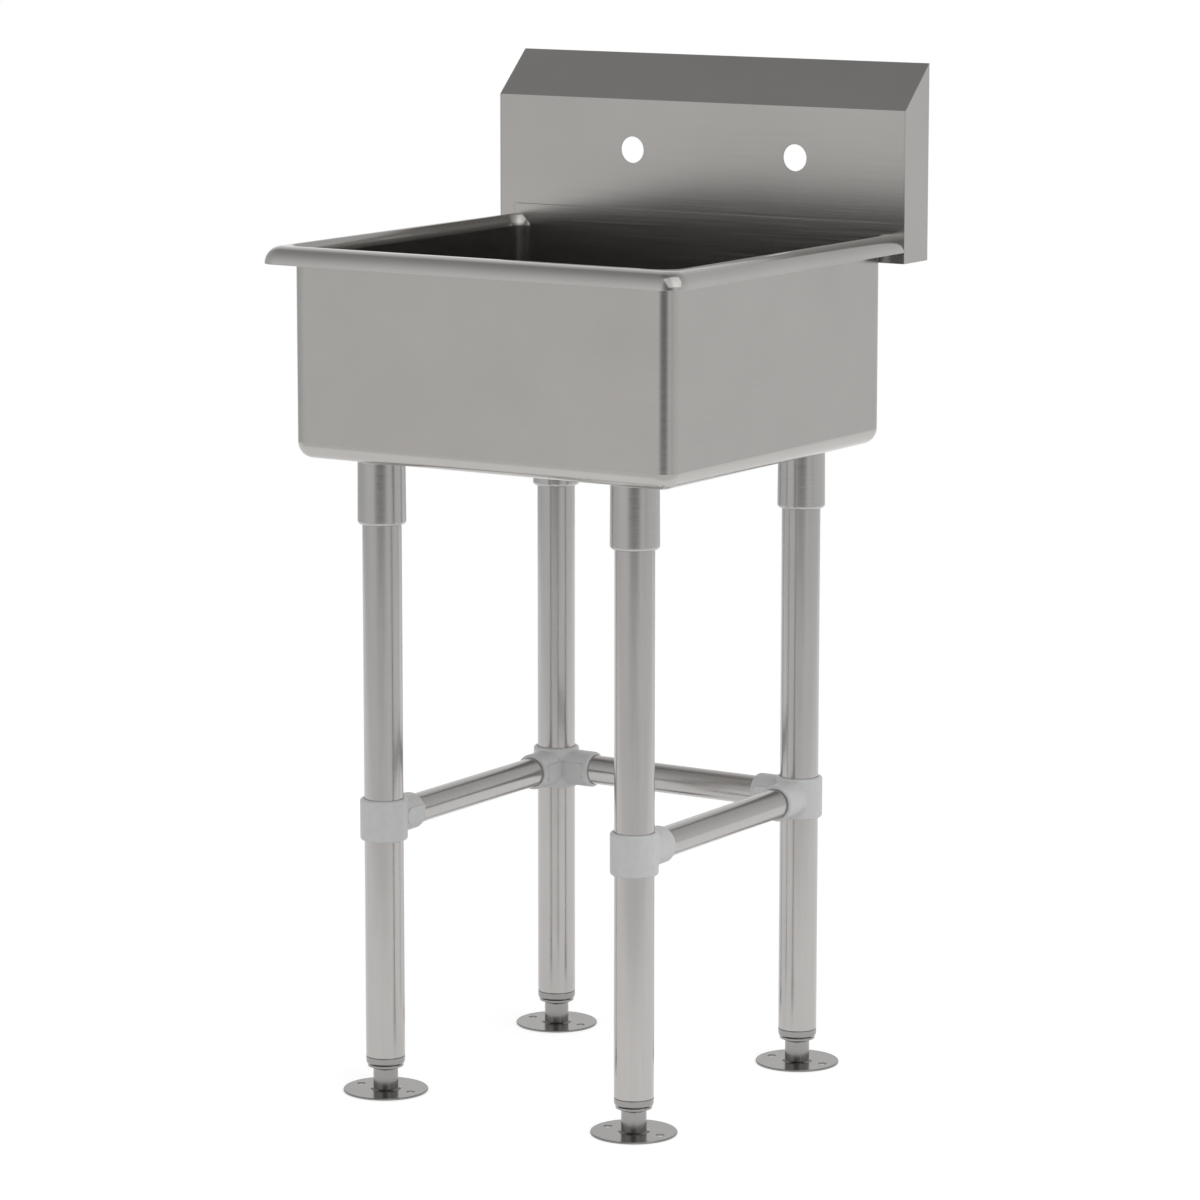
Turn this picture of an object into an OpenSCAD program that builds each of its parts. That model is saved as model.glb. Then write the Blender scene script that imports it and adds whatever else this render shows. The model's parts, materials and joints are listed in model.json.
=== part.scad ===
// Freestanding hand sink: a coved bowl whose rear wall runs up into a tall splash, with a rolled rim
// on the other three sides, on four tubular legs tied by a three-sided brace of cast fittings and
// rails, with screw-down flanged feet.
// Origin on the floor under the middle of the sink; X to the right, Y to the wall, Z up.

/* [Overall] */
// Width across the rim and the splash
overall_w = 508; // [507:1:560]
// Depth from the front lip to the back of the splash
overall_d = 508; // [505:1:560]
// Height of the rim above the floor
rim_h = 898; // [860:1:940]
// Thickness of the formed sheet
sheet_t = 1.2; // [0.9:0.1:1.5]

/* [Bowl] */
// Width inside the bowl
bowl_w = 457.2; // [420:0.1:458]
// Front to back inside the bowl
bowl_d = 429; // [390:0.5:432]
// Depth of the bowl below the rim
bowl_h = 220; // [180:1:240]
// Radius of the coved corners and bottom, inside
cove_r = 16; // [12:0.5:22]
// Large radius by which the wall turns out to the rim
bend_r = 18; // [15:0.5:20]
// Small radius of that turn at the rim's crest
crest_r = 3; // [2.5:0.1:4]
// How far the turn reaches out from the wall's inner face
bend_run = 6.8; // [5:0.1:7.2]
// How far the rear wall stands above the rim, to its seam with the splash
seam_rise = 11.7; // [8:0.1:20]
// Diameter of the drain hole
drain_d = 50.8; // [44:0.1:58]
// Diameter of the pressed dish round the drain
dish_d = 92; // [84:1:110]
// Depth of the pressed dish
dish_drop = 5; // [3:0.5:7]
// Width of the dish's sloping side
dish_slope = 9; // [6:0.5:12]

/* [Rim] */
// Radius of the rolled edge
roll_r = 18; // [14:0.5:18.5]
// Radius of the rim's front corners, in plan
lip_corner_r = 24; // [21:0.5:30]

/* [Splash] */
// Height of the splash above the rim
splash_h = 177.8; // [150:0.1:250]
// Depth of the splash at its top
splash_d = 50.8; // [40:0.1:52]
// Rise of its sloping top
slope_rise = 47.2; // [30:0.1:60]
// How far the splash hangs below the rim
splash_drop = 30; // [22:0.5:60]
// Turned-in edge along the bottom
bottom_flange = 12; // [8:0.5:25]
// Turned-down edge along the back of the top
back_flange = 22; // [12:0.5:40]

/* [Faucet holes] */
// Spacing of the two holes
faucet_spacing = 203.2; // [150:0.1:210]
// Diameter of each hole
faucet_hole_d = 28.6; // [24:0.1:34]
// Height of the holes above the rim
faucet_h = 76.2; // [60:0.1:95]
// How far their middle lies right of the splash's middle
faucet_offset = 19; // [-30:0.5:30]

/* [Legs] */
// Spacing of the legs from left to right
leg_span_x = 310; // [290:0.5:340]
// Spacing of the legs from front to rear
leg_span_y = 334; // [300:0.5:340]
// How far the middle of the legs lies behind the middle of the bowl
leg_shift = 6.8; // [0:0.1:10]
// Outside diameter of a leg
leg_od = 41.3; // [38:0.1:44]
// Wall of a leg
leg_wall = 1.5; // [1.2:0.1:2]

/* [Leg sockets] */
// Length of a socket below the bowl
socket_h = 69.2; // [50:0.1:80]
// Outside diameter at the mouth
socket_od = 51; // [49:0.1:56]
// Draft: how much narrower the socket is above, in diameter
socket_draft = 0.8; // [0:0.1:1.4]
// Outside diameter of the welded flare at the top
flare_od = 58; // [54:0.5:64]
// Height of the flare
flare_h = 3.5; // [2:0.5:6]
// Round on the mouth's edge
socket_edge = 3.2; // [1:0.1:3.6]
// Thickness of the closed top
socket_web = 3; // [2:0.5:5]
// Gap between a leg and what slides over it, on the radius
leg_gap = 0.1; // [0.05:0.01:0.2]

/* [Stiffeners] */
// Thickness of the strips between the sockets
strip_t = 2; // [1.5:0.1:3]
// Width of the strips
strip_w = 50; // [30:1:60]

/* [Brace fittings] */
// Height of the brace above the floor, at the middle of its sleeves
brace_h = 294; // [200:1:420]
// Outside diameter of a sleeve
sleeve_od = 50; // [48.5:0.1:54]
// Height of a sleeve
sleeve_h = 44.4; // [41:0.1:60]
// Outside diameter of a fitting's arm
arm_od = 39; // [37.5:0.1:40]
// Length of an arm from the leg's axis
arm_l = 51; // [48:0.5:70]
// Round on the fittings' edges
cast_edge = 3; // [1:0.1:3.2]
// Height of the flat pad on an arm's inner side
pad_h = 18; // [12:0.5:22]
// How far the pad's face lies from the arm's axis
pad_reach = 19.8; // [19.6:0.1:21]
// Plain band left at the arm's end beside a corner's pad
pad_margin = 6; // [4:0.5:10]

/* [Brace rails] */
// Outside diameter of a rail
rail_od = 31.8; // [28:0.1:32.4]
// Wall of a rail
rail_wall = 1.5; // [1.2:0.1:2]
// How deep a rail sits in an arm
rail_seat = 24; // [16:0.5:25]
// Gap between a rail and its arm's bore, on the radius
rail_gap = 0.1; // [0.05:0.01:0.2]

/* [Feet] */
// Diameter of the floor flange
flange_d = 90; // [80:0.5:110]
// Thickness of the floor flange
flange_t = 2; // [1.5:0.1:3]
// Diameter of each anchor hole
anchor_d = 9; // [6:0.5:11]
// Spacing of the two anchor holes
anchor_spacing = 63.5; // [56:0.5:74]
// Height of the raised hub in the flange
hub_h = 3.4; // [3:0.1:4.5]
// Diameter of the hub's flat top
hub_d = 30; // [27.5:0.5:38]
// Diameter of the foot's stem
stem_d = 26.4; // [24:0.1:27]
// Height of the stem, hub to shoulder
stem_h = 23.4; // [18:0.1:40]
// Diameter of the threaded stud
stud_d = 15.9; // [12:0.1:18]
// Length of the threaded stud
stud_l = 58; // [50:1:70]
// Height of the insert's collar below the leg
collar_h = 11; // [8:0.5:14]
// Round under the collar
collar_edge = 6.5; // [3:0.5:7]
// Depth of the insert inside the leg
insert_l = 30; // [28:1:40]
// How far each foot can be screwed out
foot_travel = 25.4; // [10:0.1:25.4]

/* [Set screws] */
// Diameter of a set screw in a socket or a sleeve
screw_d = 8; // [5:0.5:8]
// Diameter of a set screw in an arm
arm_screw_d = 6; // [4:0.5:6]
// Gap round each set screw, on the radius
screw_gap = 0.05; // [0.02:0.01:0.1]
// Hexagon in a screw, as a share of its diameter
key_share = 0.5;
// Depth of the hexagon, as a share of the screw's length
key_depth_share = 0.5;

/* [Hidden] */
$fn = 96;

steel = [0.64, 0.63, 0.61];
polished = [0.70, 0.69, 0.67];
casting = [0.68, 0.69, 0.69];
plated = [0.52, 0.51, 0.50];

// Overrun of every cut past the face that it leaves by
cut = 1;
// How far the strip that carries the rear wall up stands proud of the wall, inside the bowl
rear_proud = 0.1;
// Gap between a foot's shoulder and its collar when it is screwed right in
shoulder_gap = 0.3;
// Round on the shoulder at the top of a stem
shoulder_r = 3;
// Gap round the swivel neck, on the radius, and above its riveted head
swivel_gap = 0.08;
// Radius of the swivel neck and of its head, and the head's thickness
neck_r = 6;
head_r = 9.5;
head_t = 1;
// Wall of the hub above the head
hub_wall = 1.6;
// Width of the hub's sloping side, and the bevel on the flange's rim
hub_slope = 2;
flange_bevel = 0.6;
// Bevels at the seam between leg and collar, and at the stud's tip
seam_bevel = 0.5;
stud_bevel = 1.5;
// Gap between an insert and the inside of its leg, on the radius
insert_gap = 0.1;
// Room above a leg in its socket
leg_room = 1;
// Gap between a stiffener strip and the sockets' flares
strip_gap = 3;

wall_w = bowl_w + 2 * sheet_t;
wall_d = bowl_d + 2 * sheet_t;
wall_r = cove_r + sheet_t;
front_y = -overall_d / 2;
back_y = overall_d / 2;
splash_y = back_y - splash_d;
bowl_y = splash_y + rear_proud - bowl_d / 2;
bowl_z = rim_h - bowl_h - sheet_t;
bend_turn = acos((bend_r - bend_run) / (bend_r - crest_r));
bend_z = rim_h - crest_r - (bend_r - crest_r) * sin(bend_turn);
mouth_w = bowl_w + 2 * bend_run;
seam_z = rim_h + seam_rise;
fold_z = rim_h + splash_h - slope_rise;
splash_top = rim_h + splash_h;
splash_bottom = rim_h - splash_drop;
slope_tan = slope_rise / splash_d;
slope_skin = sheet_t * sqrt(1 + slope_tan * slope_tan);
faucet_z = rim_h + faucet_h;

leg_r = leg_od / 2;
leg_y = bowl_y + leg_shift;
leg_bore_r = leg_r + leg_gap;
socket_z = bowl_z - socket_h;
shoulder_z = hub_h + stem_h;
collar_z = shoulder_z + shoulder_gap;
leg_z = collar_z + collar_h;
leg_top = bowl_z - socket_web - leg_room;
leg_bore_i = leg_r - leg_wall;
stud_r = stud_d / 2;
socket_screw_z = socket_z + socket_h / 2;
rail_r = rail_od / 2;
arm_r = arm_od / 2;
rail_bore_r = rail_r + rail_gap;
rail_inset = arm_l - rail_seat;
arm_screw_at = arm_l - rail_seat / 2;

// A rounded rectangle in the plane
module round_rect(w, d, r) {
    square([w - 2 * r, d], center = true);
    square([w, d - 2 * r], center = true);
    for (x = [-1, 1], y = [-1, 1])
        translate([x * (w / 2 - r), y * (d / 2 - r)]) circle(r);
}

// A quarter of a disc, centred on the origin; turn picks the quadrant
module quarter_disc(r, turn) {
    intersection() {
        circle(r);
        rotate(turn) square(r);
    }
}

// A quarter of a flat ring, likewise
module quarter_ring(r_out, r_in, turn) {
    difference() {
        quarter_disc(r_out, turn);
        circle(r_in);
    }
}

// A section, with x outwards and y up, drawn out towards the front
module drawn(length) {
    rotate([90, 0, 0]) linear_extrude(length) children();
}

// One side of a section swept round a rounded rectangle, and the corner that follows it; sides
// count from the right one, anticlockwise, and x = 0 of the section lies on the outline
module swept_side(k, w, d, r) {
    across = k % 2 == 0 ? w : d;
    along = k % 2 == 0 ? d : w;
    rotate(90 * k) translate([across / 2, along / 2 - r, 0]) drawn(along - 2 * r) children();
}

module swept_corner(k, w, d, r) {
    across = k % 2 == 0 ? w : d;
    along = k % 2 == 0 ? d : w;
    rotate(90 * k) translate([across / 2 - r, along / 2 - r, 0])
        rotate_extrude(angle = 90) translate([r, 0]) children();
}

// A round bar with both outer edges rounded, as a section for turning
module rounded_bar_section(r, h, edge) {
    square([r - edge, h]);
    translate([0, edge]) square([r, h - 2 * edge]);
    for (y = [edge, h - edge]) translate([r - edge, y]) circle(edge);
}

// Bowl: a coved floor and upright walls; on three sides the wall turns out to the rim, and the rear
// wall runs up flush with the splash
module bend_side(inset) {
    toward = [-cos(bend_turn), sin(bend_turn)];
    intersection() {
        circle(bend_r - inset);
        polygon([[0, 0], 2 * bend_r * toward, [-2 * bend_r, 0]]);
    }
    translate((bend_r - crest_r) * toward) circle(crest_r - inset);
}

module bend_section() translate([bend_r - sheet_t, 0]) intersection() {
    difference() {
        bend_side(0);
        bend_side(sheet_t);
    }
    translate([-bend_r, 0]) square([bend_run, bend_r]);
}

module wall_outline() {
    difference() {
        round_rect(wall_w, wall_d, wall_r);
        round_rect(bowl_w, bowl_d, cove_r);
    }
}

module rear_strip_outline()
    translate([-mouth_w / 2, bowl_d / 2 - rear_proud]) square([mouth_w, sheet_t]);

module drain_dish_section() {
    hole_r = drain_d / 2;
    flat_r = dish_d / 2 - dish_slope;
    polygon([[hole_r, -dish_drop], [flat_r, -dish_drop], [dish_d / 2, 0],
             [dish_d / 2 + sheet_t, 0], [dish_d / 2 + sheet_t, -sheet_t],
             [dish_d / 2, -sheet_t], [flat_r, -dish_drop - sheet_t],
             [hole_r, -dish_drop - sheet_t]]);
}

module bowl() color(steel) translate([0, bowl_y, bowl_z]) {
    for (k = [0 : 3]) {
        swept_side(k, wall_w, wall_d, wall_r)
            translate([-wall_r, wall_r]) quarter_ring(wall_r, cove_r, 270);
        swept_corner(k, wall_w, wall_d, wall_r)
            translate([-wall_r, wall_r]) quarter_ring(wall_r, cove_r, 270);
    }
    translate([0, 0, wall_r]) linear_extrude(bend_z - bowl_z - wall_r) wall_outline();
    translate([0, 0, splash_bottom - bowl_z])
        linear_extrude(seam_z - splash_bottom) rear_strip_outline();
    translate([0, 0, bend_z - bowl_z]) {
        for (k = [0, 2, 3]) swept_side(k, wall_w, wall_d, wall_r) bend_section();
        intersection() {
            for (k = [0 : 3]) swept_corner(k, wall_w, wall_d, wall_r) bend_section();
            translate([-wall_w, -2 * wall_d + (bowl_d + sheet_t) / 2, 0])
                cube([2 * wall_w, 2 * wall_d, bend_r]);
        }
    }
    difference() {
        linear_extrude(sheet_t)
            square([wall_w - 2 * wall_r, wall_d - 2 * wall_r], center = true);
        translate([0, 0, -cut]) cylinder(r = dish_d / 2 + sheet_t, h = sheet_t + 2 * cut);
    }
    translate([0, 0, sheet_t]) rotate_extrude() drain_dish_section();
}

// Rolled rim: a narrow deck round three sides of the bowl's mouth, turned down in a quarter-round
// roll at its edge, which stops flush with the face of the splash
module roll_section() {
    translate([-roll_r, -roll_r]) quarter_ring(roll_r, roll_r - sheet_t, 0);
}

module deck_outline() {
    front = front_y + roll_r;
    half_w = overall_w / 2 - roll_r;
    r = lip_corner_r - roll_r;
    translate([-half_w, front + r]) square([2 * half_w, splash_y - front - r]);
    translate([-half_w + r, front]) square([2 * (half_w - r), r]);
    for (x = [-1, 1]) translate([x * (half_w - r), front + r]) circle(r);
}

module rolled_rim() color(polished) {
    translate([0, 0, rim_h - sheet_t]) linear_extrude(sheet_t) difference() {
        deck_outline();
        translate([0, bowl_y])
            round_rect(mouth_w, bowl_d + 2 * bend_run, cove_r + bend_run);
    }
    corner_x = overall_w / 2 - lip_corner_r;
    corner_y = front_y + lip_corner_r;
    translate([0, 0, rim_h]) {
        for (side = [0, 1]) mirror([side, 0, 0]) {
            translate([overall_w / 2, splash_y, 0]) drawn(splash_y - corner_y) roll_section();
            translate([corner_x, corner_y, 0]) rotate(-90)
                rotate_extrude(angle = 90) translate([lip_corner_r, 0]) roll_section();
        }
        translate([corner_x, front_y, 0]) rotate(-90) drawn(2 * corner_x) roll_section();
    }
}

// Splash: one folded sheet with a sloping top, closed by a plate at each end; behind the bowl it
// starts at the seam with the bowl's rear wall
module splash_section() {
    polygon([[0, splash_bottom], [0, fold_z], [splash_d, splash_top],
             [splash_d, splash_top - back_flange], [splash_d - sheet_t, splash_top - back_flange],
             [splash_d - sheet_t, fold_z + (splash_d - sheet_t) * slope_tan - slope_skin],
             [sheet_t, fold_z + sheet_t * slope_tan - slope_skin],
             [sheet_t, splash_bottom + sheet_t], [bottom_flange, splash_bottom + sheet_t],
             [bottom_flange, splash_bottom]]);
}

module splash_end_outline() {
    polygon([[0, splash_bottom], [0, fold_z], [splash_d, splash_top],
             [splash_d, splash_bottom]]);
}

module across(x, length) {
    translate([x, splash_y, 0]) rotate([90, 0, 90]) linear_extrude(length) children();
}

module splash_panel() color(steel) difference() {
    across(-overall_w / 2 + sheet_t, overall_w - 2 * sheet_t) splash_section();
    translate([-mouth_w / 2, splash_y - cut, splash_bottom - cut])
        cube([mouth_w, bottom_flange + 2 * cut, seam_z - splash_bottom + cut]);
    for (x = [-1, 1])
        translate([faucet_offset + x * faucet_spacing / 2, splash_y - cut, faucet_z])
            rotate([-90, 0, 0]) cylinder(d = faucet_hole_d, h = sheet_t + 2 * cut);
}

module splash_end_left() color(steel) across(-overall_w / 2, sheet_t) splash_end_outline();

module splash_end_right() color(steel)
    across(overall_w / 2 - sheet_t, sheet_t) splash_end_outline();

// Stiffener strips under the bowl, between the sockets of the front and of the rear legs
module stiffener(side) {
    length = leg_span_x - flare_od - 2 * strip_gap;
    translate([-length / 2, leg_y + side * leg_span_y / 2 - strip_w / 2, bowl_z - strip_t])
        cube([length, strip_w, strip_t]);
}

module stiffener_front() color(plated) stiffener(-1);

module stiffener_rear() color(plated) stiffener(1);

// Everything that stands on a leg's axis is drawn at the origin and moved there
module at_leg(x, y) {
    translate([x * leg_span_x / 2, leg_y + y * leg_span_y / 2, 0]) children();
}

// Leg socket: a drafted cup with a rounded mouth and a welded flare under the bowl
module socket_section() {
    mouth_r = socket_od / 2;
    neck = mouth_r - socket_draft / 2;
    polygon([[leg_bore_r, 0], [mouth_r - socket_edge, 0], [mouth_r - socket_edge, socket_edge],
             [mouth_r, socket_edge], [neck, socket_h - flare_h], [flare_od / 2, socket_h],
             [0, socket_h], [0, socket_h - socket_web], [leg_bore_r, socket_h - socket_web]]);
    translate([mouth_r - socket_edge, socket_edge]) quarter_disc(socket_edge, 270);
}

module leg_socket() color(polished) difference() {
    translate([0, 0, socket_z]) rotate_extrude() socket_section();
    translate([0, 0, socket_screw_z]) rotate([-90, 0, 0])
        cylinder(d = screw_d + 2 * screw_gap, h = flare_od / 2);
}

module leg_socket_front_left() at_leg(-1, -1) leg_socket();

module leg_socket_front_right() at_leg(1, -1) leg_socket();

module leg_socket_rear_left() at_leg(-1, 1) leg_socket();

module leg_socket_rear_right() at_leg(1, 1) leg_socket();

// A set screw lying along X, its tip at from and its keyed end at to
module set_screw(d, from, to) {
    length = to - from;
    translate([from, 0, 0]) rotate([0, 90, 0]) difference() {
        cylinder(d = d, h = length);
        translate([0, 0, length * (1 - key_depth_share)])
            cylinder(d = d * key_share, h = length, $fn = 6);
    }
}

module socket_set_screws() color(plated)
    for (x = [-1, 1], y = [-1, 1]) at_leg(x, y)
        translate([0, 0, socket_screw_z]) rotate(90)
            set_screw(screw_d, leg_r, socket_od / 2 - socket_draft);

// Leg: a round tube from the foot's collar to the top of its socket
module leg_tube() color(steel) difference() {
    translate([0, 0, leg_z]) rotate_extrude() polygon([
        [0, 0], [leg_r - seam_bevel, 0], [leg_r, seam_bevel],
        [leg_r, leg_top - leg_z], [0, leg_top - leg_z]]);
    translate([0, 0, leg_z - cut]) cylinder(r = leg_bore_i, h = leg_top - leg_z + 2 * cut);
}

module leg_front_left() at_leg(-1, -1) leg_tube();

module leg_front_right() at_leg(1, -1) leg_tube();

module leg_rear_left() at_leg(-1, 1) leg_tube();

module leg_rear_right() at_leg(1, 1) leg_tube();

// Foot insert: a threaded plug in the leg's end, with a collar rounded underneath
module insert_section() {
    square([leg_r - collar_edge, collar_h]);
    translate([0, collar_edge]) square([leg_r - seam_bevel, collar_h - collar_edge]);
    translate([0, collar_edge]) square([leg_r, collar_h - seam_bevel - collar_edge]);
    translate([leg_r - collar_edge, collar_edge]) circle(collar_edge);
    square([leg_bore_i - insert_gap, collar_h + insert_l]);
}

module foot_insert() color(polished) difference() {
    translate([0, 0, collar_z]) rotate_extrude() insert_section();
    translate([0, 0, collar_z - cut])
        cylinder(r = stud_r + swivel_gap, h = collar_h + insert_l + 2 * cut);
}

module foot_insert_front_left() at_leg(-1, -1) foot_insert();

module foot_insert_front_right() at_leg(1, -1) foot_insert();

module foot_insert_rear_left() at_leg(-1, 1) foot_insert();

module foot_insert_rear_right() at_leg(1, 1) foot_insert();

// Foot stem: a shouldered stud that turns in the flange's hub, held there by a riveted head
module stem_section() {
    stem_r = stem_d / 2;
    head_z = hub_h - hub_wall - swivel_gap - head_t;
    translate([0, hub_h]) square([stem_r, stem_h - shoulder_r]);
    translate([0, hub_h]) square([stem_r - shoulder_r, stem_h]);
    translate([stem_r - shoulder_r, shoulder_z - shoulder_r]) circle(shoulder_r);
    translate([0, head_z]) square([neck_r, hub_h - head_z]);
    translate([0, head_z]) square([head_r, head_t]);
    translate([0, shoulder_z]) polygon([
        [0, 0], [stud_r, 0], [stud_r, stud_l - stud_bevel], [stud_r - stud_bevel, stud_l],
        [0, stud_l]]);
}

module foot_stem() color(polished) rotate_extrude() stem_section();

module foot_stem_front_left() at_leg(-1, -1) foot_stem();

module foot_stem_front_right() at_leg(1, -1) foot_stem();

module foot_stem_rear_left() at_leg(-1, 1) foot_stem();

module foot_stem_rear_right() at_leg(1, 1) foot_stem();

// Foot flange: a pressed disc with a raised hub and two anchor holes in line with the front
module flange_section() {
    hollow_z = hub_h - hub_wall;
    polygon([[head_r + swivel_gap, 0], [flange_d / 2, 0], [flange_d / 2, flange_t - flange_bevel],
             [flange_d / 2 - flange_bevel, flange_t], [hub_d / 2 + hub_slope, flange_t],
             [hub_d / 2, hub_h], [neck_r + swivel_gap, hub_h], [neck_r + swivel_gap, hollow_z],
             [head_r + swivel_gap, hollow_z]]);
}

module foot_flange() color(polished) difference() {
    rotate_extrude() flange_section();
    for (x = [-1, 1]) translate([x * anchor_spacing / 2, 0, -cut])
        cylinder(d = anchor_d, h = flange_t + 2 * cut);
}

module foot_flange_front_left() at_leg(-1, -1) foot_flange();

module foot_flange_front_right() at_leg(1, -1) foot_flange();

module foot_flange_rear_left() at_leg(-1, 1) foot_flange();

module foot_flange_rear_right() at_leg(1, 1) foot_flange();

// Brace fittings: a sleeve on the leg with one or two arms; at turns, 0 is towards +X
module fitting_arm(turn) {
    rotate(turn) rotate([0, 90, 0]) rotate_extrude() rounded_bar_section(arm_r, arm_l, cast_edge);
}

// The flat pad on an arm's side: face is 1 for the side to its left, -1 for the right
module arm_pad(turn, face) {
    rotate(turn) rotate([face * -90, 0, 0]) linear_extrude(pad_reach) children();
}

// A corner's pads meet at an upright crease and stop short of the arms' ends
module corner_pad_outline() translate([0, -pad_h / 2]) square([arm_l - pad_margin, pad_h]);

// A tee's pad starts round at the sleeve and runs to the round of the arm's end
module tee_pad_outline() {
    start = sleeve_od / 2;
    translate([start, 0]) circle(d = pad_h);
    translate([start, -pad_h / 2]) square([arm_l - cast_edge - start, pad_h]);
}

module arm_bore(turn) {
    rotate(turn) {
        translate([rail_inset, 0, 0]) rotate([0, 90, 0]) cylinder(r = rail_bore_r, h = arm_l);
        translate([arm_screw_at, 0, -arm_l])
            cylinder(d = arm_screw_d + 2 * screw_gap, h = arm_l);
    }
}

module sleeve_bore(screw_turn) {
    translate([0, 0, -sleeve_h]) cylinder(r = leg_bore_r, h = 2 * sleeve_h);
    rotate(screw_turn) rotate([0, 90, 0]) cylinder(d = screw_d + 2 * screw_gap, h = sleeve_od);
}

module sleeve() translate([0, 0, -sleeve_h / 2])
    rotate_extrude() rounded_bar_section(sleeve_od / 2, sleeve_h, cast_edge);

// The front fitting of the left side; its arm points to the rear
module tee(screw_turn) color(casting) translate([0, 0, brace_h]) difference() {
    union() {
        sleeve();
        fitting_arm(90);
        arm_pad(90, -1) tee_pad_outline();
    }
    sleeve_bore(screw_turn);
    arm_bore(90);
}

// The rear fitting of the left side; its arms point to the front and to the right
module corner() color(casting) translate([0, 0, brace_h]) difference() {
    union() {
        sleeve();
        fitting_arm(-90);
        fitting_arm(0);
        arm_pad(-90, 1) corner_pad_outline();
        arm_pad(0, -1) corner_pad_outline();
    }
    sleeve_bore(90);
    arm_bore(-90);
    arm_bore(0);
}

module tee_front_left() at_leg(-1, -1) tee(180);

module tee_front_right() at_leg(1, -1) mirror([1, 0, 0]) tee(0);

module corner_rear_left() at_leg(-1, 1) corner();

module corner_rear_right() at_leg(1, 1) mirror([1, 0, 0]) corner();

// A rail between two fittings whose legs are span apart, lying along X from the left one
module rail(span) color(steel) {
    length = span - 2 * rail_inset;
    translate([rail_inset, 0, brace_h]) rotate([0, 90, 0]) difference() {
        cylinder(r = rail_r, h = length);
        translate([0, 0, -cut]) cylinder(r = rail_r - rail_wall, h = length + 2 * cut);
    }
}

module rail_left() at_leg(-1, -1) rotate(90) rail(leg_span_y);

module rail_right() at_leg(1, -1) rotate(90) rail(leg_span_y);

module rail_rear() at_leg(-1, 1) rail(leg_span_x);

// The sleeves' screws face left at the front and rearwards at the rear; the arms' are underneath
module sleeve_screw(turn) rotate(turn) set_screw(screw_d, leg_bore_r, sleeve_od / 2);

module arm_screw(turn) rotate(turn) translate([arm_screw_at, 0, 0]) rotate([0, 90, 0])
    set_screw(arm_screw_d, rail_r, arm_r);

module brace_set_screws() color(plated) translate([0, 0, brace_h]) {
    for (x = [-1, 1]) {
        at_leg(x, -1) {
            sleeve_screw(180);
            arm_screw(90);
        }
        at_leg(x, 1) {
            sleeve_screw(90);
            arm_screw(-90);
            arm_screw(x < 0 ? 0 : 180);
        }
    }
}

bowl();
rolled_rim();
splash_panel();
splash_end_left();
splash_end_right();
stiffener_front();
stiffener_rear();
leg_socket_front_left();
leg_socket_front_right();
leg_socket_rear_left();
leg_socket_rear_right();
socket_set_screws();
leg_front_left();
leg_front_right();
leg_rear_left();
leg_rear_right();
foot_insert_front_left();
foot_insert_front_right();
foot_insert_rear_left();
foot_insert_rear_right();
foot_stem_front_left();
foot_stem_front_right();
foot_stem_rear_left();
foot_stem_rear_right();
foot_flange_front_left();
foot_flange_front_right();
foot_flange_rear_left();
foot_flange_rear_right();
tee_front_left();
tee_front_right();
corner_rear_left();
corner_rear_right();
rail_left();
rail_right();
rail_rear();
brace_set_screws();
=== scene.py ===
import json
import math

import bmesh
import bpy
from mathutils import Matrix, Vector


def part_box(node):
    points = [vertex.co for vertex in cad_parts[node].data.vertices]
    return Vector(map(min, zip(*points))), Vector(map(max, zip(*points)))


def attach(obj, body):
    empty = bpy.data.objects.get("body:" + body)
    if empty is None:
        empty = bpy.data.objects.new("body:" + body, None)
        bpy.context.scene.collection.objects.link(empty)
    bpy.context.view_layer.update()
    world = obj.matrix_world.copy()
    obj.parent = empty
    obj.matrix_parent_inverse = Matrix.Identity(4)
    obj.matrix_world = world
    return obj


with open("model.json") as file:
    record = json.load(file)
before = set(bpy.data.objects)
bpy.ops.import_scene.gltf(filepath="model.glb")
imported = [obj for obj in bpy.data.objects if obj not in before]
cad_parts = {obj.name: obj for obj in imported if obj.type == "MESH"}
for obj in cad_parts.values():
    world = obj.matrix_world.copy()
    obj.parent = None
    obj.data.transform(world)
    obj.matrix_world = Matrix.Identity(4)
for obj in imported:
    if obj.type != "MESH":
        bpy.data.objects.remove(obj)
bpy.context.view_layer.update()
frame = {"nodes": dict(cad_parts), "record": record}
nodes = frame["nodes"]
places = ("front_left", "front_right", "rear_left", "rear_right")
print("frame loaded:", len(nodes), "nodes")


# Camera: solved from the photo's rim, splash, legs and feet
camera = {
    "azimuth": 32.549,
    "elevation": 9.677,
    "distance": 5.1686,
    "target": (0.0084, -0.0393, 0.5211),
    "lens": 147.98,
    "sensor": 36.0,
    "shiftX": 0.0144,
    "shiftY": 0.0012,
    "clipEnd": 50,
}


def directionFrom(azimuth, elevation):  # azimuth counts from the front towards the right, in degrees
    azimuth, elevation = math.radians(azimuth), math.radians(elevation)
    return Vector((math.sin(azimuth) * math.cos(elevation),
                   -math.cos(azimuth) * math.cos(elevation),
                   math.sin(elevation)))


def makeCamera():
    back = directionFrom(camera["azimuth"], camera["elevation"])
    azimuth = math.radians(camera["azimuth"])
    right = Vector((math.cos(azimuth), math.sin(azimuth), 0))
    up = back.cross(right)
    turn = Matrix((right, up, back)).transposed().to_4x4()
    data = bpy.data.cameras.new("photoCamera")
    data.lens = camera["lens"]
    data.sensor_width = camera["sensor"]
    data.shift_x = camera["shiftX"]
    data.shift_y = camera["shiftY"]
    data.clip_end = camera["clipEnd"]
    seen = bpy.data.objects.new("photoCamera", data)
    bpy.context.scene.collection.objects.link(seen)
    seen.matrix_world = Matrix.Translation(Vector(camera["target"]) + back * camera["distance"]) @ turn
    bpy.context.scene.camera = seen


makeCamera()
print("camera placed")


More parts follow.
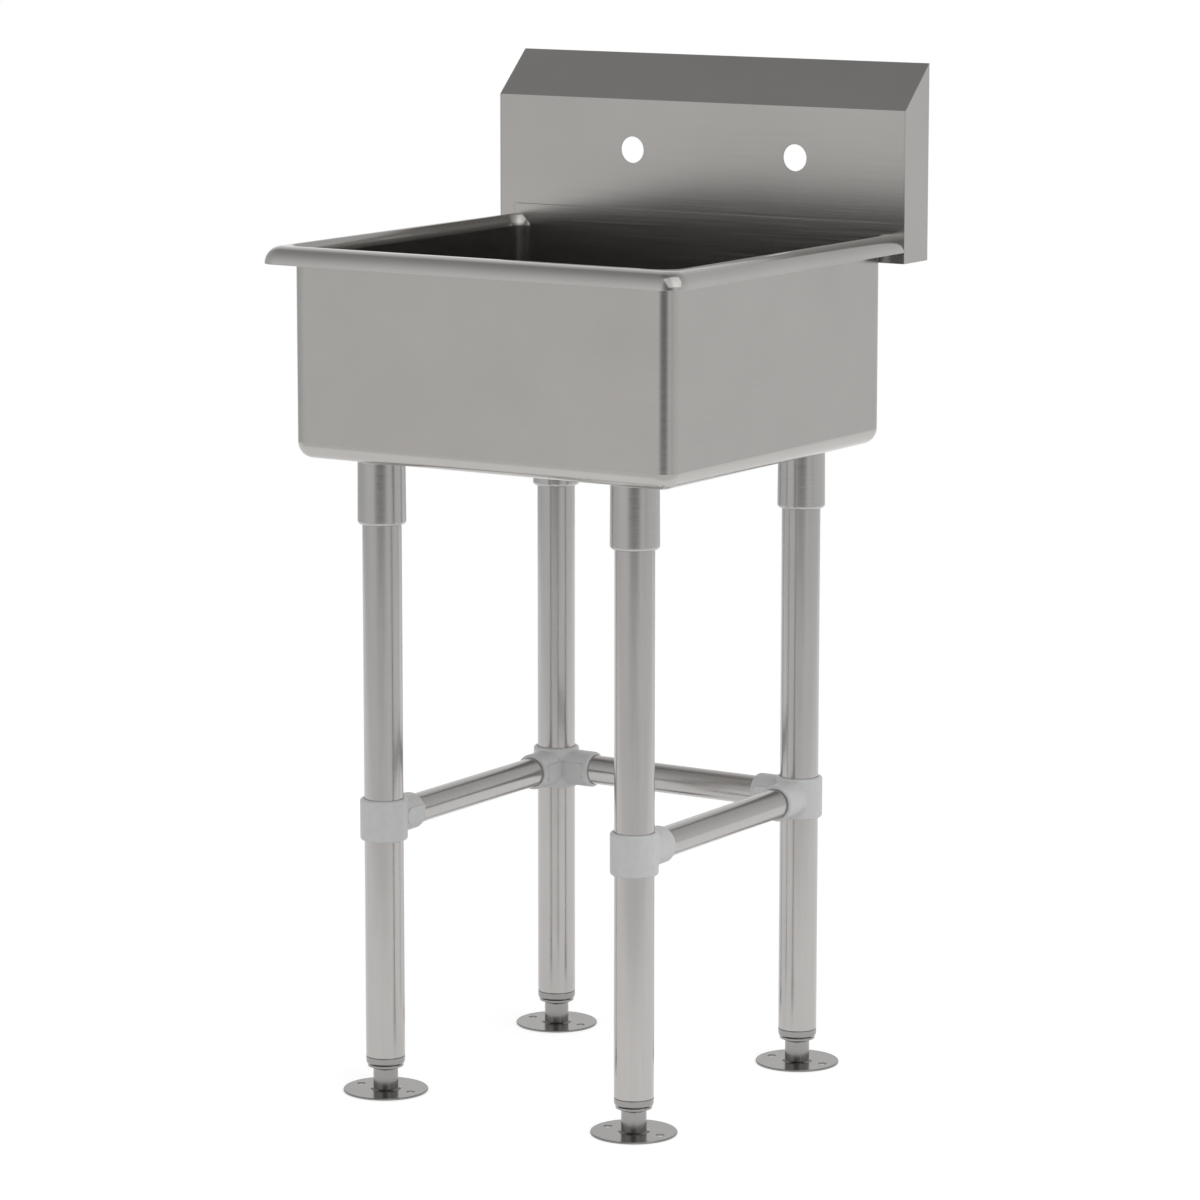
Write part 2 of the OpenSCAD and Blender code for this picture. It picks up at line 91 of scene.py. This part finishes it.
# Material helpers
noiseLook = {
    "roughness": 0.6,
    "from": 0.3,  # the noise seldom leaves this range
    "to": 0.7,
    "softDetail": 3.0,
    "grainDetail": 6.0,
    "grainScale": 4.0,
    "grainDepth": 0.0005,
    "cloudScale": 7.0,
    "cloudSpread": 0.03,
}
bevelSamples = 6


def newMaterial(name):
    material = bpy.data.materials.new(name)
    material.use_nodes = True
    tree = material.node_tree
    return material, tree, tree.nodes["Principled BSDF"]


def addNode(tree, kind, **settings):
    node = tree.nodes.new(kind)
    for key, value in settings.items():
        if key in node.inputs:
            node.inputs[key].default_value = value
        else:
            setattr(node, key, value)
    return node


def calc(tree, operation, *values):
    node = addNode(tree, "ShaderNodeMath", operation=operation)
    for socket, value in zip(node.inputs, values):
        if isinstance(value, (int, float)):
            socket.default_value = value
        else:
            tree.links.new(value, socket)
    return node.outputs[0]


def mapRange(tree, value, start, end, low, high, kind="LINEAR"):
    node = addNode(tree, "ShaderNodeMapRange", interpolation_type=kind)
    for name, number in (("From Min", start), ("From Max", end), ("To Min", low), ("To Max", high)):
        node.inputs[name].default_value = number
    tree.links.new(value, node.inputs["Value"])
    return node.outputs["Result"]


def objectCoords(tree):
    return addNode(tree, "ShaderNodeTexCoord").outputs["Object"]


def stretchedNoise(tree, stretch, scale, detail):  # drawn out along the axes with a small stretch
    mapping = addNode(tree, "ShaderNodeMapping", Scale=stretch)
    noise = addNode(tree, "ShaderNodeTexNoise", Scale=scale, Detail=detail, Roughness=noiseLook["roughness"])
    tree.links.new(objectCoords(tree), mapping.inputs["Vector"])
    tree.links.new(mapping.outputs["Vector"], noise.inputs["Vector"])
    return noise.outputs["Fac"]


def fromNoise(tree, noise, low, high):
    return mapRange(tree, noise, noiseLook["from"], noiseLook["to"], low, high)


def clouded(tree, color, spread, scale):  # a colour that drifts a little over the surface
    mix = addNode(tree, "ShaderNodeMix", data_type="RGBA")
    colorSockets = [socket for socket in mix.inputs if socket.type == "RGBA"]
    colorSockets[0].default_value = [part * (1 - spread) for part in color] + [1]
    colorSockets[1].default_value = [part * (1 + spread) for part in color] + [1]
    noise = stretchedNoise(tree, (1, 1, 1), scale, noiseLook["softDetail"])
    tree.links.new(fromNoise(tree, noise, 0.0, 1.0), mix.inputs["Factor"])
    return [socket for socket in mix.outputs if socket.type == "RGBA"][0]


def softEdges(tree, radius):  # a fine round on every fold and rim, in the shading only
    return addNode(tree, "ShaderNodeBevel", samples=bevelSamples, Radius=radius).outputs["Normal"]


def bumped(tree, height, strength, distance, normal):
    bump = addNode(tree, "ShaderNodeBump", Strength=strength, Distance=distance)
    tree.links.new(height, bump.inputs["Height"])
    tree.links.new(normal, bump.inputs["Normal"])
    return bump.outputs["Normal"]


# Finishes, with the colours of the record's slots; the foot's and flange's are darkened as painted shade
baseColors = {item["slot"]: item["base_color"] for item in frame["record"]["materials"]}
finishes = {
    "sheet": {"rough": (0.17, 0.24), "grain": (1.5, 1.5, 260), "bump": 0.03, "edge": 0.0004},
    "rim": {"rough": (0.14, 0.20), "grain": (6, 6, 220), "bump": 0.02, "edge": 0.0004},
    "stiffener": {"rough": (0.30, 0.40), "grain": (2, 90, 90), "bump": 0.04, "edge": 0.0006},
    "socket": {"rough": (0.15, 0.23), "grain": (8, 8, 260), "bump": 0.03, "edge": 0.0008},
    "tube": {"rough": (0.17, 0.26), "grain": (60, 60, 3), "bump": 0.02, "edge": 0.0004},
    # painted shade: a tone below 1 darkens the foot's and flange's colour, for the darker look of these low
    # parts near the floor
    "foot": {"rough": (0.16, 0.26), "grain": (8, 8, 300), "bump": 0.03, "edge": 0.0005, "tone": 0.66},
    "flange": {"rough": (0.16, 0.24), "grain": (40, 40, 40), "bump": 0.02, "edge": 0.0005, "tone": 0.6},
    "screw": {"rough": (0.28, 0.38), "grain": (90, 90, 90), "bump": 0.04, "edge": 0.0003},
}


def slotColor(name, look):
    return [part * look.get("tone", 1.0) for part in baseColors[name]]


def brushedSteel(name):
    look = finishes[name]
    material, tree, shader = newMaterial(name)
    shader.inputs["Metallic"].default_value = 1.0
    grain = stretchedNoise(tree, look["grain"], noiseLook["grainScale"], noiseLook["grainDetail"])
    tree.links.new(fromNoise(tree, grain, *look["rough"]), shader.inputs["Roughness"])
    color = clouded(tree, slotColor(name, look), noiseLook["cloudSpread"], noiseLook["cloudScale"])
    tree.links.new(color, shader.inputs["Base Color"])
    normal = bumped(tree, grain, look["bump"], noiseLook["grainDepth"], softEdges(tree, look["edge"]))
    if name == "foot":
        normal = bumped(tree, threadHeight(tree), thread["strength"], thread["depth"], normal)
    tree.links.new(normal, shader.inputs["Normal"])
    return material


# The stud's thread and its insert's, as relief round each leg's axis
legBoxes = {place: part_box("leg_" + place) for place in places}
legAxes = {place: (low + high) / 2 for place, (low, high) in legBoxes.items()}
thread = {
    "pitch": 0.0254 / 11,
    "halfTurn": 0.5,
    "strength": 1.0,
    "depth": 0.0009,
    "halfX": abs(legAxes["front_right"].x),
    "halfY": (legAxes["rear_right"].y - legAxes["front_right"].y) / 2,
    "middleY": (legAxes["rear_right"].y + legAxes["front_right"].y) / 2,
    "reach": 0.0083,
    "from": 0.0275,
}


def threadHeight(tree):
    split = addNode(tree, "ShaderNodeSeparateXYZ")
    tree.links.new(objectCoords(tree), split.inputs[0])
    x, y, z = split.outputs
    fromMiddle = calc(tree, "SUBTRACT", y, thread["middleY"])
    across = calc(tree, "SUBTRACT", x, calc(tree, "MULTIPLY", calc(tree, "SIGN", x), thread["halfX"]))
    along = calc(tree, "SUBTRACT", fromMiddle,
                 calc(tree, "MULTIPLY", calc(tree, "SIGN", fromMiddle), thread["halfY"]))
    turn = calc(tree, "DIVIDE", calc(tree, "ARCTAN2", along, across), 2 * math.pi)
    phase = calc(tree, "SUBTRACT", calc(tree, "DIVIDE", z, thread["pitch"]), turn)
    wave = calc(tree, "DIVIDE", calc(tree, "PINGPONG", phase, thread["halfTurn"]), thread["halfTurn"])
    squared = calc(tree, "ADD", calc(tree, "MULTIPLY", across, across),
                   calc(tree, "MULTIPLY", along, along))
    near = calc(tree, "LESS_THAN", squared, thread["reach"] ** 2)
    above = calc(tree, "GREATER_THAN", z, thread["from"])
    return calc(tree, "MULTIPLY", wave, calc(tree, "MULTIPLY", near, above))


castingLook = {
    "rough": (0.42, 0.56),
    "metallic": 0.15,
    "tone": 1.34,
    "spread": 0.03,
    "mottle": 160.0,
    "pebble": 900.0,
    "bump": 0.10,
    "depth": 0.0003,
    "edge": 0.0010,
}


def castMetal():
    material, tree, shader = newMaterial("casting")
    shader.inputs["Metallic"].default_value = castingLook["metallic"]
    mottle = clouded(tree, slotColor("casting", castingLook), castingLook["spread"], castingLook["mottle"])
    tree.links.new(mottle, shader.inputs["Base Color"])
    pebble = stretchedNoise(tree, (1, 1, 1), castingLook["pebble"], noiseLook["softDetail"])
    tree.links.new(fromNoise(tree, pebble, *castingLook["rough"]), shader.inputs["Roughness"])
    normal = bumped(tree, pebble, castingLook["bump"], castingLook["depth"],
                    softEdges(tree, castingLook["edge"]))
    tree.links.new(normal, shader.inputs["Normal"])
    return material


materials = {name: brushedSteel(name) for name in finishes}
materials["casting"] = castMetal()
slotOf = {part["node"]: part["material_slot"] for part in frame["record"]["subparts"]}
for name, node in nodes.items():
    node.data.materials.clear()
    node.data.materials.append(materials[slotOf[name]])
print("materials:", len(materials))


# Fine pieces that ride on the sink
mergeDistance = 1e-7


def finishPiece(bm, name, slot, body):
    bmesh.ops.remove_doubles(bm, verts=bm.verts, dist=mergeDistance)
    bmesh.ops.recalc_face_normals(bm, faces=bm.faces)
    for face in bm.faces:
        face.smooth = True
    mesh = bpy.data.meshes.new(name)
    bm.to_mesh(mesh)
    bm.free()
    piece = bpy.data.objects.new(name, mesh)
    bpy.context.scene.collection.objects.link(piece)
    mesh.materials.append(materials[slot])
    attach(piece, body)


# Ground weld along the seam between the bowl's rear wall and the splash
seam = {"tall": 0.0007, "proud": 0.0002, "taper": 0.004, "tip": 0.3, "sides": 12}


def makeSeam():
    low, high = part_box("bowl")
    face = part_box("splash_panel")[0].y
    length = high.x - low.x
    bm = bmesh.new()
    made = bmesh.ops.create_circle(bm, cap_ends=True, segments=seam["sides"], radius=seam["tall"] / 2)
    verts = made["verts"]
    bmesh.ops.rotate(bm, verts=verts, matrix=Matrix.Rotation(math.pi / 2, 3, "Y"))
    bmesh.ops.scale(bm, verts=verts, vec=(1, 2 * seam["proud"] / seam["tall"], 1))
    bmesh.ops.scale(bm, verts=verts, vec=(1, seam["tip"], seam["tip"]))
    end = list(bm.faces)[0]
    for step, grow in ((seam["taper"], 1 / seam["tip"]), (length - 2 * seam["taper"], 1),
                       (seam["taper"], seam["tip"])):
        made = bmesh.ops.extrude_face_region(bm, geom=[end])
        verts = [item for item in made["geom"] if isinstance(item, bmesh.types.BMVert)]
        end = [item for item in made["geom"] if isinstance(item, bmesh.types.BMFace)][0]
        bmesh.ops.scale(bm, verts=verts, vec=(1, grow, grow))
        bmesh.ops.translate(bm, verts=verts, vec=(step, 0, 0))
    bmesh.ops.translate(bm, verts=bm.verts, vec=(low.x, face, high.z))
    finishPiece(bm, "seamWeld", "rim", "sink")


makeSeam()


# Weld beads round the sockets' flares, under the bowl
bead = {"radius": 0.0013, "inset": 0.0002, "steps": 96, "sides": 10, "ripples": 30, "ripple": 0.00012}


def makeBead(place):
    low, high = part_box("leg_socket_" + place)
    middle = (low + high) / 2
    ring = (high.x - low.x) / 2 - bead["inset"]
    bm = bmesh.new()
    made = bmesh.ops.create_circle(bm, segments=bead["sides"], radius=bead["radius"])
    bmesh.ops.rotate(bm, verts=made["verts"], matrix=Matrix.Rotation(math.pi / 2, 3, "X"))
    bmesh.ops.translate(bm, verts=made["verts"], vec=(ring, 0, 0))
    bmesh.ops.spin(bm, geom=bm.verts[:] + bm.edges[:], cent=(0, 0, 0), axis=(0, 0, 1),
                   angle=2 * math.pi, steps=bead["steps"], use_merge=True)
    for vert in bm.verts:
        vert.co.z -= bead["ripple"] * math.sin(bead["ripples"] * math.atan2(vert.co.y, vert.co.x))
    bmesh.ops.translate(bm, verts=bm.verts, vec=(middle.x, middle.y, high.z - bead["radius"]))
    finishPiece(bm, "weldBead_" + place, "socket", "sink")


for place in places:
    makeBead(place)
print("fine pieces made")


# Floor: a pale disc, with painted shade that dims its colour and glow a little in front, that fades out into
# the studio's own pale light
floorLook = {
    "half": 4.4,
    "drop": 0.0005,
    "color": 0.8,
    "fill": 0.6,
    "fadeFrom": 3.5,
    "fadeTo": 4.1,
    "brightAt": (-1.1, 1.7, 0),
    "brightTo": 2.72,
    "dimFrom": 3.15,
    "dim": 0.79,
}


def floorMaterial():
    material, tree, shader = newMaterial("floorPale")
    tree.nodes.remove(shader)
    path = addNode(tree, "ShaderNodeLightPath").outputs
    seen = calc(tree, "MAXIMUM", path["Is Camera Ray"],
                calc(tree, "MAXIMUM", path["Is Glossy Ray"], path["Is Transmission Ray"]))
    away = addNode(tree, "ShaderNodeVectorMath", operation="DISTANCE")
    tree.links.new(objectCoords(tree), away.inputs[0])
    away.inputs[1].default_value = floorLook["brightAt"]
    # painted shade: the floor's colour and glow dim with distance from brightAt, darker in front of the sink
    tone = mapRange(tree, away.outputs["Value"], floorLook["brightTo"], floorLook["dimFrom"],
                    1.0, floorLook["dim"], "SMOOTHSTEP")
    paint = addNode(tree, "ShaderNodeBsdfDiffuse")
    tree.links.new(calc(tree, "MULTIPLY", tone, floorLook["color"]), paint.inputs["Color"])
    fill = addNode(tree, "ShaderNodeEmission")
    glow = calc(tree, "MULTIPLY", calc(tree, "MULTIPLY", seen, floorLook["fill"]), tone)
    tree.links.new(glow, fill.inputs["Strength"])
    both = addNode(tree, "ShaderNodeAddShader")
    tree.links.new(paint.outputs[0], both.inputs[0])
    tree.links.new(fill.outputs[0], both.inputs[1])
    length = addNode(tree, "ShaderNodeVectorMath", operation="LENGTH")
    tree.links.new(objectCoords(tree), length.inputs[0])
    fade = mapRange(tree, length.outputs["Value"], floorLook["fadeFrom"], floorLook["fadeTo"],
                    0.0, 1.0, "SMOOTHSTEP")
    mix = addNode(tree, "ShaderNodeMixShader")
    clear = addNode(tree, "ShaderNodeBsdfTransparent")
    tree.links.new(fade, mix.inputs[0])
    tree.links.new(both.outputs[0], mix.inputs[1])
    tree.links.new(clear.outputs[0], mix.inputs[2])
    tree.links.new(mix.outputs[0], tree.nodes["Material Output"].inputs["Surface"])
    return material


def makeFloor():
    bm = bmesh.new()
    bmesh.ops.create_grid(bm, x_segments=1, y_segments=1, size=floorLook["half"])
    bmesh.ops.translate(bm, verts=bm.verts, vec=(0, 0, -floorLook["drop"]))
    mesh = bpy.data.meshes.new("floor")
    bm.to_mesh(mesh)
    bm.free()
    mesh.materials.append(floorMaterial())
    floor = bpy.data.objects.new("floor", mesh)
    bpy.context.scene.collection.objects.link(floor)


makeFloor()


# Studio: pale all round behind the sink, a soft grey at its sides and overhead, one dark gap in front
studio = {
    "around": ((-180, 0.80), (-170, 0.86), (-162, 1.0), (-132, 1.0), (-124, 0.78), (-111, 0.56),
               (-64, 0.68), (-40, 0.80), (-22, 0.82), (-4, 0.78), (4, 0.50), (14, 0.30), (26, 0.20),
               (40, 0.22), (50, 0.36), (59, 0.66), (70, 0.76), (84, 0.62), (100, 0.74), (130, 0.80),
               (150, 0.81), (165, 0.80), (180, 0.80)),
    "upward": ((-90, 1.0), (6, 1.0), (20, 0.88), (44, 0.68), (57, 0.58), (75, 0.36), (90, 0.30)),
    "strength": 1.0,
}


def ramp(tree, angle, stops):  # grey against an angle, with the stops in degrees
    first, last = stops[0][0], stops[-1][0]
    span = last - first
    node = addNode(tree, "ShaderNodeValToRGB")
    elements = node.color_ramp.elements
    for index, (degrees, grey) in enumerate(stops):
        position = (degrees - first) / span
        element = elements[index] if index < 2 else elements.new(position)
        element.position = position
        element.color = (grey, grey, grey, 1)
    share = calc(tree, "MULTIPLY_ADD", angle, 1 / math.radians(span), -first / span)
    tree.links.new(share, node.inputs["Fac"])
    return node.outputs["Color"]


def makeWorld():
    world = bpy.data.worlds.new("studio")
    bpy.context.scene.world = world
    world.use_nodes = True
    tree = world.node_tree
    split = addNode(tree, "ShaderNodeSeparateXYZ")
    tree.links.new(addNode(tree, "ShaderNodeTexCoord").outputs["Generated"], split.inputs[0])
    x, y, z = split.outputs
    azimuth = calc(tree, "ARCTAN2", x, calc(tree, "MULTIPLY", y, -1.0))
    around = ramp(tree, azimuth, studio["around"])
    upward = ramp(tree, calc(tree, "ARCSINE", z), studio["upward"])
    tone = addNode(tree, "ShaderNodeVectorMath", operation="MULTIPLY")
    tree.links.new(around, tone.inputs[0])
    tree.links.new(upward, tone.inputs[1])
    background = tree.nodes["Background"]
    tree.links.new(tone.outputs["Vector"], background.inputs["Color"])
    background.inputs["Strength"].default_value = studio["strength"]


makeWorld()


# One large soft lamp, high on the right
lamp = {"azimuth": 62, "elevation": 48, "distance": 4.2, "size": 5.0, "watts": 55, "aim": (0, 0, 0.6)}


def makeLamp():
    toward = directionFrom(lamp["azimuth"], lamp["elevation"])
    data = bpy.data.lights.new("softLamp", "AREA")
    data.shape = "SQUARE"
    data.size = lamp["size"]
    data.energy = lamp["watts"]
    light = bpy.data.objects.new("softLamp", data)
    bpy.context.scene.collection.objects.link(light)
    place = Vector(lamp["aim"]) + toward * lamp["distance"]
    turn = toward.to_track_quat("Z", "Y").to_matrix().to_4x4()
    light.matrix_world = Matrix.Translation(place) @ turn


makeLamp()
bpy.context.scene.view_settings.view_transform = "Standard"
print("stage ready")
